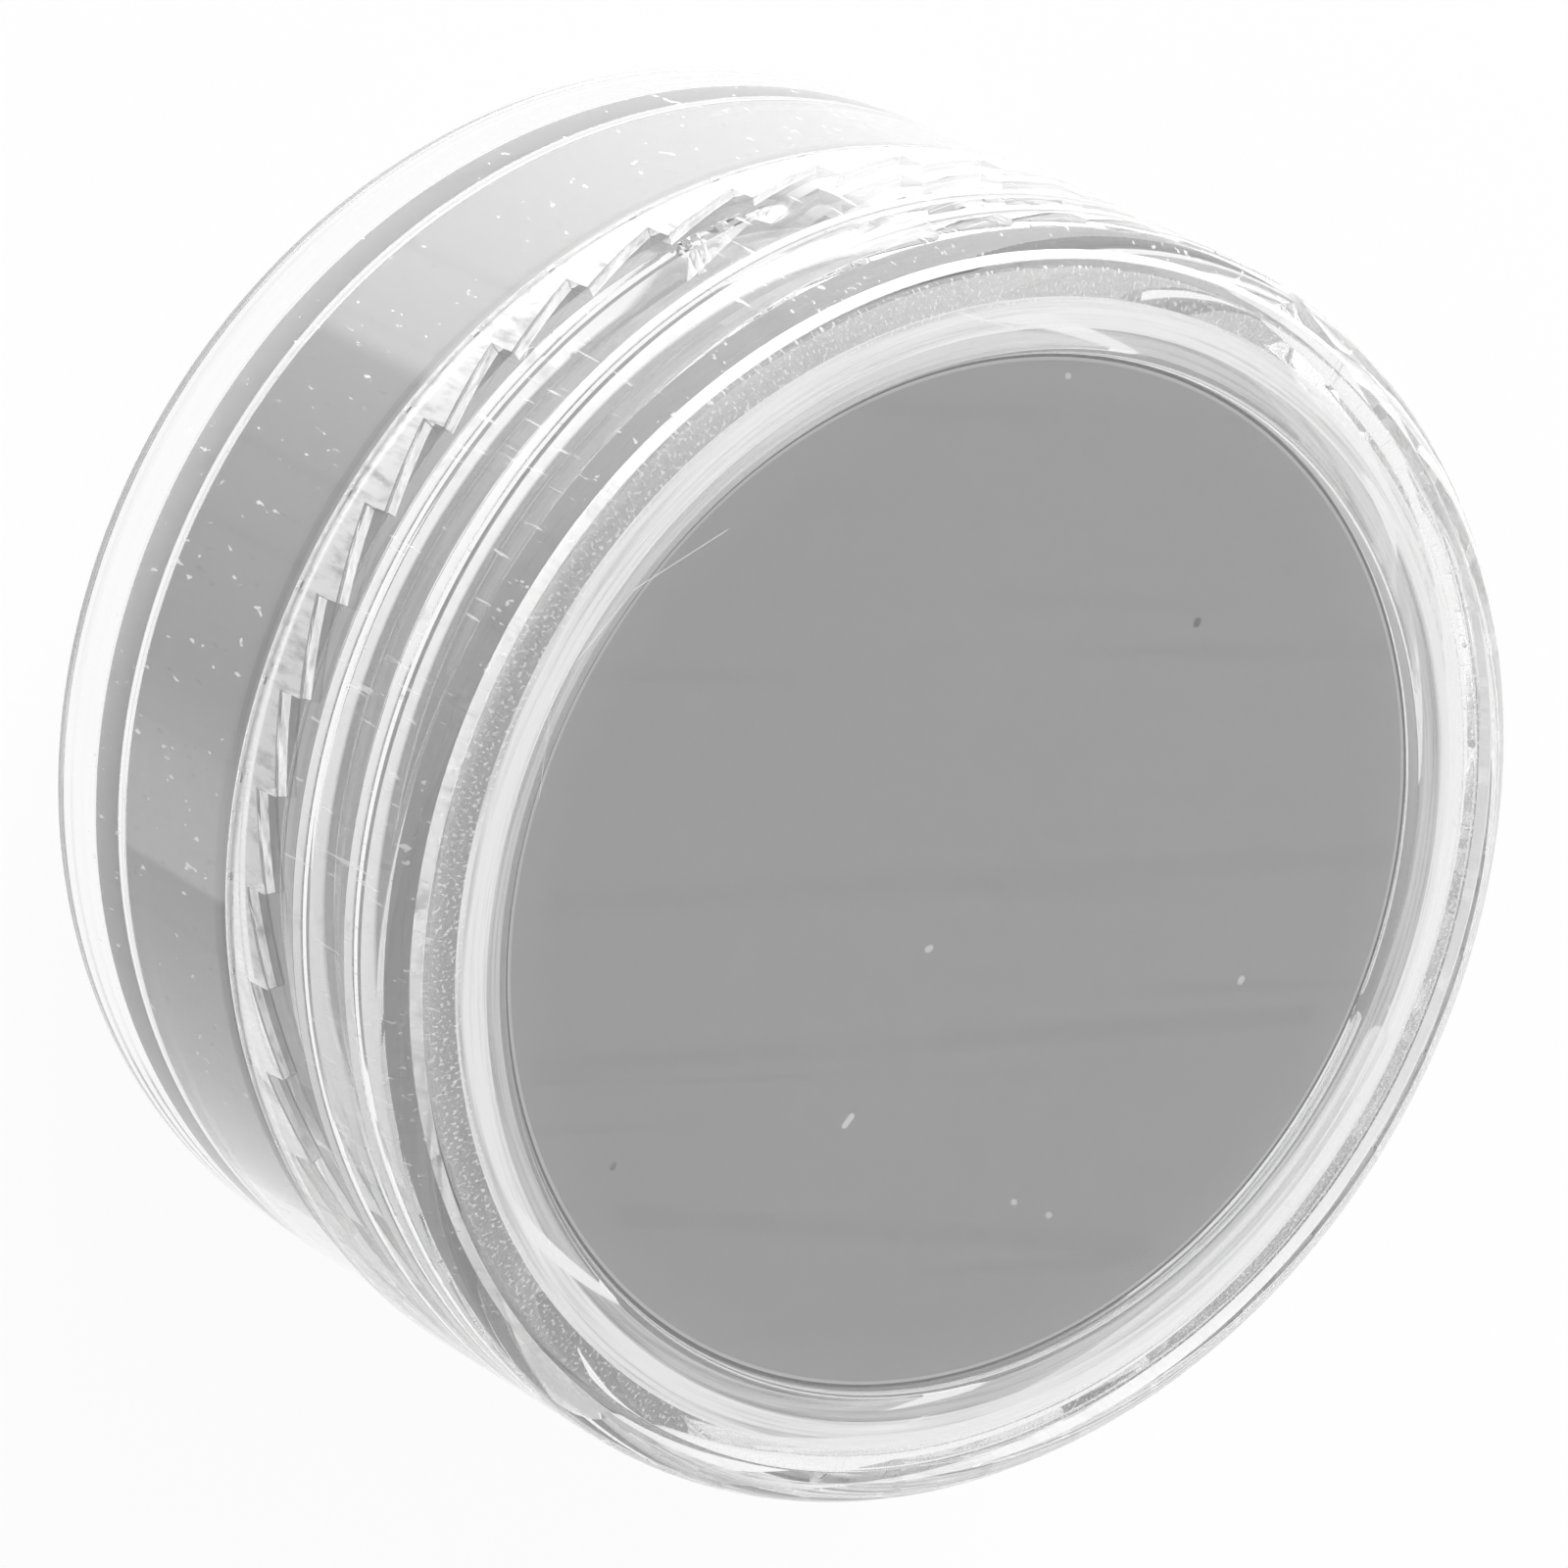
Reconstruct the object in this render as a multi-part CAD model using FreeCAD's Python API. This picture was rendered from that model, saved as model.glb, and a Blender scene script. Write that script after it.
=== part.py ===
import FreeCAD, Part
import math
import os

# Clear screw-lid jar filled with a solid cake of grey colour.
# Millimetres, +Z is the jar's axis towards the lid, origin at the middle of the foot.

# Neck, narrower than the body below it
MOUTH_RADIUS = 25.1
NECK_WALL = 2.4
NECK_RISE = 13.9
NECK_ROUNDING = 0.4
NECK_ROOT_ROUNDING = 0.3

# Body with one thin wall; its base is recessed, so that the jar stands on a foot ring
BODY_WALL = 1.6
BODY_DRAFT = 0.2
BASE_LIFT = 3.0
BASE_WALL = 1.6
BASE_ROUNDING = 1.5
RECESS_ROUNDING = 0.3
FOOT_ROUNDING = 0.5
SHOULDER_HEIGHT = 16.6
SHOULDER_WALL = 1.4
SHOULDER_ROUNDING = 0.5
THROAT_ROUNDING = 0.8

# Cake of colour cast in the jar
CAKE_CLEARANCE = 0.05
CAKE_BELOW_MOUTH = 0.45
CAKE_EDGE_ROUNDING = 0.2

# Sealing disc, held in the lid and pressed on the mouth of the jar
SEAL_THICKNESS = 0.5
SEAL_SIDE_CLEARANCE = 0.4
SEAL_FACE_CLEARANCE = 0.1

# Lid
LID_GAP = 0.3
LID_WALL = 2.2
LID_OVERHANG = 0.3
LID_TAPER = 0.55
LID_TOP_WALL = 1.8
LID_CORNER_ROUNDING = 2.9
LID_RIM_ROUNDING = 0.3
THREAD_ROOM = 1.8
BEAD_HOLD = 0.5
BEAD_HEIGHT = 1.2

# Ratchet inside the lid's open rim, which holds the lid still while its moulding core unscrews
TOOTH_COUNT = 42
TOOTH_START_ANGLE = 0.95
TOOTH_HEIGHT = 1.7
TOOTH_RECESS = 1.4
RIM_LIP = 0.9
CUT_MARGIN = 0.4

# Radii that follow from the mouth outwards
NECK_RADIUS = MOUTH_RADIUS + NECK_WALL
LID_BORE_RADIUS = NECK_RADIUS + THREAD_ROOM
LID_RIM_RADIUS = LID_BORE_RADIUS + LID_WALL
LID_TOP_RADIUS = LID_RIM_RADIUS - LID_TAPER
SHOULDER_RADIUS = LID_RIM_RADIUS - LID_OVERHANG
FOOT_RADIUS = SHOULDER_RADIUS + BODY_DRAFT
CAVITY_TOP_RADIUS = SHOULDER_RADIUS - BODY_WALL
CAVITY_BASE_RADIUS = FOOT_RADIUS - BODY_WALL
SEAL_RADIUS = LID_BORE_RADIUS - SEAL_SIDE_CLEARANCE
BEAD_RADIUS = SEAL_RADIUS - BEAD_HOLD
RATCHET_RADIUS = LID_RIM_RADIUS - RIM_LIP

# Heights that follow from the foot upwards
BASE_TOP = BASE_LIFT + BASE_WALL
SHOULDER_UNDERSIDE = SHOULDER_HEIGHT - SHOULDER_WALL
NECK_TOP = SHOULDER_HEIGHT + NECK_RISE
SEAL_BOTTOM = NECK_TOP + SEAL_FACE_CLEARANCE
SEAL_TOP = SEAL_BOTTOM + SEAL_THICKNESS
LID_RIM_HEIGHT = SHOULDER_HEIGHT + LID_GAP
LID_UNDERSIDE = SEAL_TOP + SEAL_FACE_CLEARANCE
LID_TOP = LID_UNDERSIDE + LID_TOP_WALL
BEAD_TOP = SEAL_BOTTOM - SEAL_FACE_CLEARANCE
TOOTH_TIP_HEIGHT = LID_RIM_HEIGHT + TOOTH_RECESS
TOOTH_PITCH = 2 * math.pi / TOOTH_COUNT
TOOTH_START = math.radians(TOOTH_START_ANGLE)

AXIS_POINT = FreeCAD.Vector(0, 0, 0)
AXIS = FreeCAD.Vector(0, 0, 1)
SHARP = 0.0


def turned(corners):
    """Solid turned about the axis from (radius, height, rounding) corners, in order round the section."""
    places = [FreeCAD.Vector(radius, 0, height) for radius, height, rounding in corners]
    arrivals = []
    departures = []
    arcs = []
    for index, (radius, height, rounding) in enumerate(corners):
        here = places[index]
        to_last = (places[index - 1] - here).normalize()
        to_next = (places[(index + 1) % len(places)] - here).normalize()
        if rounding == SHARP:
            arrivals.append(here)
            departures.append(here)
            arcs.append(None)
            continue
        half_angle = to_last.getAngle(to_next) / 2
        setback = rounding / math.tan(half_angle)
        inward = (to_last + to_next).normalize()
        centre = here + inward * (rounding / math.sin(half_angle))
        arrivals.append(here + to_last * setback)
        departures.append(here + to_next * setback)
        arcs.append(centre - inward * rounding)
    edges = []
    for index, crown in enumerate(arcs):
        if crown is not None:
            edges.append(Part.Arc(arrivals[index], crown, departures[index]).toShape())
        following = arrivals[(index + 1) % len(arcs)]
        edges.append(Part.LineSegment(departures[index], following).toShape())
    section = Part.Face(Part.Wire(edges))
    return section.revolve(AXIS_POINT, AXIS, 360)


def make_jar():
    """One moulding: foot ring, recessed base, thin wall, shoulder and neck."""
    corners = [
        (FOOT_RADIUS, 0, FOOT_ROUNDING),
        (SHOULDER_RADIUS, SHOULDER_HEIGHT, SHOULDER_ROUNDING),
        (NECK_RADIUS, SHOULDER_HEIGHT, NECK_ROOT_ROUNDING),
        (NECK_RADIUS, NECK_TOP, NECK_ROUNDING),
        (MOUTH_RADIUS, NECK_TOP, NECK_ROUNDING),
        (MOUTH_RADIUS, SHOULDER_UNDERSIDE, THROAT_ROUNDING),
        (CAVITY_TOP_RADIUS, SHOULDER_UNDERSIDE, THROAT_ROUNDING),
        (CAVITY_BASE_RADIUS, BASE_TOP, BASE_ROUNDING),
        (0, BASE_TOP, SHARP),
        (0, BASE_LIFT, SHARP),
        (CAVITY_BASE_RADIUS, BASE_LIFT, RECESS_ROUNDING),
        (CAVITY_BASE_RADIUS, 0, RECESS_ROUNDING),
    ]
    return turned(corners)


def make_cake():
    """Colour cast in the jar: wide in the body and narrow in the neck, a little clear of the walls."""
    top_height = NECK_TOP - CAKE_BELOW_MOUTH
    bottom_height = BASE_TOP + CAKE_CLEARANCE
    throat_height = SHOULDER_UNDERSIDE - CAKE_CLEARANCE
    neck_radius = MOUTH_RADIUS - CAKE_CLEARANCE
    corners = [
        (0, bottom_height, SHARP),
        (CAVITY_BASE_RADIUS - CAKE_CLEARANCE, bottom_height, BASE_ROUNDING - CAKE_CLEARANCE),
        (CAVITY_TOP_RADIUS - CAKE_CLEARANCE, throat_height, THROAT_ROUNDING - CAKE_CLEARANCE),
        (neck_radius, throat_height, THROAT_ROUNDING + CAKE_CLEARANCE),
        (neck_radius, top_height, CAKE_EDGE_ROUNDING),
        (0, top_height, SHARP),
    ]
    return turned(corners)


def make_seal():
    """Thin clear disc between the jar's mouth and the lid."""
    seal_base = FreeCAD.Vector(0, 0, SEAL_BOTTOM)
    return Part.makeCylinder(SEAL_RADIUS, SEAL_THICKNESS, seal_base, AXIS)


def ratchet_gap(index):
    """Gap between two ratchet teeth: one face stands along the axis, the other is a long ramp."""
    start = TOOTH_START + index * TOOTH_PITCH
    end = start + TOOTH_PITCH
    outlines = []
    for radius in (LID_BORE_RADIUS - 2 * CUT_MARGIN, RATCHET_RADIUS + 2 * CUT_MARGIN):
        low_start = FreeCAD.Vector(radius * math.cos(start), radius * math.sin(start), TOOTH_TIP_HEIGHT)
        low_end = FreeCAD.Vector(radius * math.cos(end), radius * math.sin(end), TOOTH_TIP_HEIGHT)
        high_end = low_end + AXIS * TOOTH_HEIGHT
        outlines.append(Part.makePolygon([low_start, low_end, high_end, low_start]))
    return Part.makeLoft(outlines, True, True)


def make_lid():
    """Cap with a rounded shoulder, a bead that holds the sealing disc, and ratchet teeth in its rim."""
    bead_middle = BEAD_TOP - BEAD_HEIGHT / 2
    corners = [
        (LID_RIM_RADIUS, LID_RIM_HEIGHT, LID_RIM_ROUNDING),
        (LID_TOP_RADIUS, LID_TOP, LID_CORNER_ROUNDING),
        (0, LID_TOP, SHARP),
        (0, LID_UNDERSIDE, SHARP),
        (LID_BORE_RADIUS, LID_UNDERSIDE, SHARP),
        (LID_BORE_RADIUS, BEAD_TOP, SHARP),
        (BEAD_RADIUS, bead_middle, SHARP),
        (LID_BORE_RADIUS, BEAD_TOP - BEAD_HEIGHT, SHARP),
        (LID_BORE_RADIUS, TOOTH_TIP_HEIGHT, SHARP),
        (RATCHET_RADIUS, TOOTH_TIP_HEIGHT, SHARP),
        (RATCHET_RADIUS, LID_RIM_HEIGHT, LID_RIM_ROUNDING),
    ]
    cap = turned(corners)
    ring_rise = TOOTH_HEIGHT + CUT_MARGIN
    ring_base = FreeCAD.Vector(0, 0, TOOTH_TIP_HEIGHT)
    ring = Part.makeCylinder(RATCHET_RADIUS, ring_rise, ring_base, AXIS)
    ring = ring.cut(Part.makeCylinder(LID_BORE_RADIUS - CUT_MARGIN, ring_rise, ring_base, AXIS))
    gaps = [ring.common(ratchet_gap(index)) for index in range(TOOTH_COUNT)]
    return cap.cut(gaps)


def main():
    """Write one file for each piece of the jar."""
    os.makedirs("parts", exist_ok=True)
    pieces = {
        "jar": make_jar(),
        "colour_cake": make_cake(),
        "sealing_disc": make_seal(),
        "screw_lid": make_lid(),
    }
    for name, shape in pieces.items():
        solid = shape.Solids[0]
        solid.exportStep(os.path.join("parts", name + ".step"))
        print(name, len(shape.Solids), shape.isValid(), round(solid.Volume, 1), solid.BoundBox)


main()
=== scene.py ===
import logging
import math
from dataclasses import dataclass
from enum import Enum
from typing import Any, Protocol

import bmesh
import bpy
import numpy as np
from mathutils import Matrix, Vector


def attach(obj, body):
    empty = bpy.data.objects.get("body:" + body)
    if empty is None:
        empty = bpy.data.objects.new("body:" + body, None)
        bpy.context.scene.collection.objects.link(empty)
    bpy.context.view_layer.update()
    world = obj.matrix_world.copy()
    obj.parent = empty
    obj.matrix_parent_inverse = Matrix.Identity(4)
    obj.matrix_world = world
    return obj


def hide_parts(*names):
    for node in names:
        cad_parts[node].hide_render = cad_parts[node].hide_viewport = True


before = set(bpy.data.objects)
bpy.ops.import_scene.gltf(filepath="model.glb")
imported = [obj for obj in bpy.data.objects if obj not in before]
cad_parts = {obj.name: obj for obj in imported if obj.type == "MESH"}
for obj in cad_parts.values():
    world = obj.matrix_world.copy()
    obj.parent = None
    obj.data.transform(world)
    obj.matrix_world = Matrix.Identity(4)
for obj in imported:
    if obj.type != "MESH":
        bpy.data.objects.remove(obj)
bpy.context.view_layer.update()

MM = 0.001
HAIR = 0.05 * MM
FULL_TURN = 2 * math.pi
LEVEL = (1.0, 1.0, 0.0)
log = logging.getLogger("colour_jar")


class Relief(Enum):
    """What is pressed into a run of a turned section."""

    PLAIN = "plain"
    THREAD = "thread"
    RATCHET = "ratchet"


class Wire:
    """One value in a node tree. Arithmetic on wires adds Math nodes."""

    def __init__(self, tree: "NodeTree", socket: bpy.types.NodeSocket) -> None:
        """Wrap an output socket of a tree."""
        self.tree = tree
        self.socket = socket

    def maths(self, operation: str, *others: Any) -> "Wire":
        """Add a Math node whose first input is this wire.

        Args:
            operation: Blender's name of the operation.
            others: the other inputs, as wires or numbers.

        Returns:
            The result.
        """
        values = {index: value for index, value in enumerate((self, *others))}
        return self.tree.value("ShaderNodeMath", {"operation": operation}, values)

    def __add__(self, other: Any) -> "Wire":
        """Sum."""
        return self.maths("ADD", other)

    def __radd__(self, other: Any) -> "Wire":
        """Sum with a number on the left."""
        return self.maths("ADD", other)

    def __sub__(self, other: Any) -> "Wire":
        """Difference."""
        return self.maths("SUBTRACT", other)

    def __rsub__(self, other: float) -> "Wire":
        """Difference from a number on the left."""
        return self.tree.value("ShaderNodeMath", {"operation": "SUBTRACT"}, {0: other, 1: self})

    def __mul__(self, other: Any) -> "Wire":
        """Product."""
        return self.maths("MULTIPLY", other)

    def __rmul__(self, other: Any) -> "Wire":
        """Product with a number on the left."""
        return self.maths("MULTIPLY", other)

    def __truediv__(self, other: Any) -> "Wire":
        """Quotient."""
        return self.maths("DIVIDE", other)

    def smooth(self, low: float, high: float) -> "Wire":
        """Smooth step from 0 at low to 1 at high, either way round."""
        settings = {"interpolation_type": "SMOOTHSTEP"}
        values = {"Value": self, "From Min": min(low, high), "From Max": max(low, high)}
        step = self.tree.value("ShaderNodeMapRange", settings, values)
        return step if low < high else 1 - step

    def held(self) -> "Wire":
        """This value held between 0 and 1."""
        return self.maths("MINIMUM", 1.0).maths("MAXIMUM", 0.0)


class NodeTree:
    """Builds the nodes of one material, world or shape tree."""

    def __init__(self, tree: bpy.types.NodeTree) -> None:
        """Take an empty or emptied tree."""
        self.tree = tree

    def node(self, kind: str, settings: dict[str, Any] | None = None,
             values: dict[int | str, Any] | None = None) -> bpy.types.Node:
        """Add a node.

        Args:
            kind: Blender's type name of the node.
            settings: properties that are set first.
            values: numbers, colours, wires or sockets for the input sockets, by name or index.

        Returns:
            The new node.
        """
        made = self.tree.nodes.new(kind)
        for name, value in (settings or {}).items():
            setattr(made, name, value)
        for key, value in (values or {}).items():
            if isinstance(value, Wire):
                self.tree.links.new(value.socket, made.inputs[key])
            elif isinstance(value, bpy.types.NodeSocket):
                self.tree.links.new(value, made.inputs[key])
            else:
                made.inputs[key].default_value = value
        return made

    def value(self, kind: str, settings: dict[str, Any] | None = None,
              values: dict[int | str, Any] | None = None, output: int | str = 0) -> Wire:
        """Add a node and return one of its outputs as a wire."""
        return Wire(self, self.node(kind, settings, values).outputs[output])

    def vector(self, operation: str, first: Any, second: Any, output: int | str = 0) -> Wire:
        """Add a Vector Math node with two vectors and return its result."""
        return self.value("ShaderNodeVectorMath", {"operation": operation}, {0: first, 1: second}, output)

    def seen(self) -> Wire:
        """1 on rays from the camera or passed on by gloss or clear plastic, and 0 on the rest."""
        path = self.node("ShaderNodeLightPath")
        camera, glossy, passed = (Wire(self, path.outputs[name])
                                  for name in ("Is Camera Ray", "Is Glossy Ray", "Is Transmission Ray"))
        return camera.maths("MAXIMUM", glossy).maths("MAXIMUM", passed)


def grey(level: float) -> tuple[float, float, float, float]:
    """Neutral opaque colour of one linear level."""
    return (level, level, level, 1.0)


def new_material(name: str) -> tuple[bpy.types.Material, NodeTree]:
    """Make a material with an empty tree.

    Args:
        name: the material's name.

    Returns:
        The material and the builder of its tree.
    """
    material = bpy.data.materials.new(name)
    material.use_nodes = True
    material.node_tree.nodes.clear()
    return material, NodeTree(material.node_tree)


@dataclass(frozen=True)
class Polar:
    """A place about the axis: radius, height and share of a full turn."""

    radius: Wire
    up: Wire
    turn: Wire

    @classmethod
    def of(cls, tree: NodeTree, place: Wire) -> "Polar":
        """Work out the parts of a place.

        Args:
            tree: the tree that the place belongs to.
            place: the place as a vector.

        Returns:
            Its radius, its height and its turn from 0 to 1.
        """
        parts = tree.node("ShaderNodeSeparateXYZ", None, {0: place})
        across, along, up = (Wire(tree, parts.outputs[index]) for index in range(3))
        angle = along.maths("ARCTAN2", across) / FULL_TURN
        radius = (across * across + along * along).maths("SQRT")
        return cls(radius, up, angle + angle.maths("LESS_THAN", 0.0))

    def on_thread(self, base: Any, pitch: Any, starts: Any) -> tuple[Wire, Wire]:
        """Find the nearest crest of a screw thread, whose sizes are wires or numbers.

        Args:
            base: height of a crest's middle at turn 0.
            pitch: height from crest to crest.
            starts: number of starts.

        Returns:
            The height above the middle of the nearest crest, and the height of that middle.
        """
        level = (self.up - base) / pitch - self.turn * starts
        loop = level.maths("ROUND")
        return (level - loop) * pitch, (loop + self.turn * starts) * pitch + base

    def between(self, inner: float, outer: float) -> Wire:
        """1 between two radii and 0 elsewhere."""
        return self.radius.maths("GREATER_THAN", inner) * self.radius.maths("LESS_THAN", outer)


@dataclass(frozen=True)
class Ratchet:
    """Ring of saw teeth."""

    count: int = 42
    height: float = 1.7 * MM
    start_turn: float = 0.95 / 360

    def share(self, turn: Wire) -> Wire:
        """How far along a ramp a turn lies, from 0 to 1."""
        return ((turn - self.start_turn) * self.count).maths("FRACT")


class Mark(Protocol):
    """Anything that makes clear plastic white in places."""

    def mask(self, tree: NodeTree, place: Wire) -> Wire:
        """How white a place is, from 0 to 1."""


def grain(tree: NodeTree, place: Wire, spot: Polar, size: tuple[float, float, float], cover: float,
          fade: float = 0.25) -> Wire:
    """Streaks on a surface.

    Args:
        tree: the material's tree.
        place: the place on the piece.
        spot: the same place about the axis.
        size: streaks per metre across, outward and upward.
        cover: how much stays bare, from 0 to 1.
        fade: how softly a streak ends.

    Returns:
        From 0 where it is bare to 1 in a streak.
    """
    across, outward, upward = size
    flat = tree.vector("MULTIPLY", place, (across, across, 0.0))
    raised = tree.value("ShaderNodeCombineXYZ", None, {2: spot.radius * outward + spot.up * upward})
    drawn = tree.vector("ADD", flat, raised)
    streak = tree.value("ShaderNodeTexNoise", None, {"Vector": drawn, "Scale": 1.0, "Detail": 3.0})
    return streak.smooth(cover - fade, cover + fade)


@dataclass(frozen=True)
class FrostZone:
    """A ring of a piece whose surface is frosted, between two heights and two radii."""

    low: float
    high: float
    inner: float
    outer: float
    amount: float
    grain: tuple[float, float, float]
    cover: float = 0.4
    teeth: Ratchet | None = None
    step_line: float = 0.02
    fade: float = 0.25

    def mask(self, tree: NodeTree, place: Wire) -> Wire:
        """How frosted a place is.

        Args:
            tree: the material's tree.
            place: the place on the piece.

        Returns:
            From 0 where it is clear up to the zone's amount, streaked as its grain says.
        """
        spot = Polar.of(tree, place)
        height = spot.up
        inside = spot.between(self.inner, self.outer)
        if self.teeth:
            ramp = self.teeth.share(spot.turn)
            height = height - ramp * self.teeth.height
            inside = inside * ramp.maths("GREATER_THAN", self.step_line)
            inside = inside * ramp.maths("LESS_THAN", 1 - self.step_line)
        inside = inside * height.maths("GREATER_THAN", self.low) * height.maths("LESS_THAN", self.high)
        return inside * grain(tree, place, spot, self.grain, self.cover, self.fade) * self.amount


def off_line(tree: NodeTree, place: Wire, start: tuple[float, float], end: tuple[float, float]) -> Wire:
    """Distance from a straight line on a level surface.

    Args:
        tree: the material's tree.
        place: the place on the piece.
        start: where the line starts, in millimetres.
        end: where it ends.

    Returns:
        The level distance to the nearest point of the line, in metres.
    """
    first, last = (Vector((across * MM, along * MM, 0.0)) for across, along in (start, end))
    along = last - first
    away = tree.vector("SUBTRACT", tree.vector("MULTIPLY", place, LEVEL), first)
    share = tree.vector("DOT_PRODUCT", away, along / along.length_squared, "Value").held()
    foot = tree.value("ShaderNodeVectorMath", {"operation": "SCALE"}, {0: along, "Scale": share})
    return tree.vector("DISTANCE", away, foot, "Value")


@dataclass(frozen=True)
class Scratch:
    """A straight hairline scratch on a flat top, between two places in millimetres."""

    start: tuple[float, float]
    end: tuple[float, float]
    above: float
    width: float = 0.05 * MM
    amount: float = 0.5

    def mask(self, tree: NodeTree, place: Wire) -> Wire:
        """How scratched a place is.

        Args:
            tree: the material's tree.
            place: the place on the piece.

        Returns:
            The scratch's amount along its line, and 0 elsewhere.
        """
        off = off_line(tree, place, self.start, self.end)
        top = Polar.of(tree, place).up.maths("GREATER_THAN", self.above)
        return off.smooth(self.width, 0.0) * top * self.amount


@dataclass(frozen=True)
class ClearPlastic:
    """Clear moulded styrene: gloss, faintly wavy, frosted in places."""

    name: str
    frosted: tuple[Mark, ...] = ()
    refraction: float = 1.59
    level: float = 0.985
    light_passed: float = 0.93
    base_roughness: float = 0.015
    wave_size: float = 3.0 * MM
    wave_depth: float = 0.001 * MM
    frost_level: float = 0.97

    def make(self) -> bpy.types.Material:
        """Build the material."""
        material, tree = new_material(self.name)
        place = tree.value("ShaderNodeTexCoord", output="Object")
        wave = tree.value("ShaderNodeTexNoise", None,
                          {"Vector": place, "Scale": 1 / self.wave_size, "Detail": 2.0})
        bump = tree.value("ShaderNodeBump", None,
                          {"Strength": 1.0, "Distance": self.wave_depth, "Height": wave})
        plastic = tree.node("ShaderNodeBsdfPrincipled", None, {
            "Base Color": grey(self.level),
            "Roughness": self.base_roughness,
            "IOR": self.refraction,
            "Transmission Weight": 1.0,
            "Normal": bump,
        })
        surface = plastic.outputs[0]
        for zone in self.frosted:
            haze = tree.node("ShaderNodeBsdfDiffuse", None, {"Color": grey(self.frost_level)})
            surface = tree.node("ShaderNodeMixShader", None,
                                {0: zone.mask(tree, place), 1: surface, 2: haze.outputs[0]}).outputs[0]
        clear = tree.node("ShaderNodeBsdfTransparent", None, {"Color": grey(self.light_passed)})
        path = tree.node("ShaderNodeLightPath")
        shadow, diffuse = (Wire(tree, path.outputs[name]) for name in ("Is Shadow Ray", "Is Diffuse Ray"))
        passing = shadow.maths("MAXIMUM", diffuse)
        mixed = tree.node("ShaderNodeMixShader", None, {0: passing, 1: surface, 2: clear.outputs[0]})
        tree.node("ShaderNodeOutputMaterial", None, {"Surface": mixed.outputs[0]})
        return material


@dataclass(frozen=True)
class SideLightPatch:
    """A part of the cake's side that is painted paler or darker than the rest, as painted light and shade,
    in degrees about the axis.
    """

    start: float
    end: float
    share: float
    start_soft: float = 0.6
    end_soft: float = 0.6

    def change(self, turn: Wire) -> Wire:
        """What the patch's painted light and shade add to the tone's share at a turn."""
        angle = turn * 360.0
        begun = angle.smooth(self.start - self.start_soft, self.start + self.start_soft)
        going_on = angle.smooth(self.end + self.end_soft, self.end - self.end_soft)
        return begun * going_on * (self.share - 1.0)


@dataclass(frozen=True)
class Speck:
    """A grain or streak of other colour on the cake's top, between two places in millimetres."""

    start: tuple[float, float]
    end: tuple[float, float]
    radius: float
    share: float

    def change(self, tree: NodeTree, place: Wire) -> Wire:
        """What the speck adds to the tone's share at a place on the top."""
        off = off_line(tree, place, self.start, self.end)
        return off.smooth(self.radius, self.radius / 2) * (self.share - 1.0)


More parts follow.
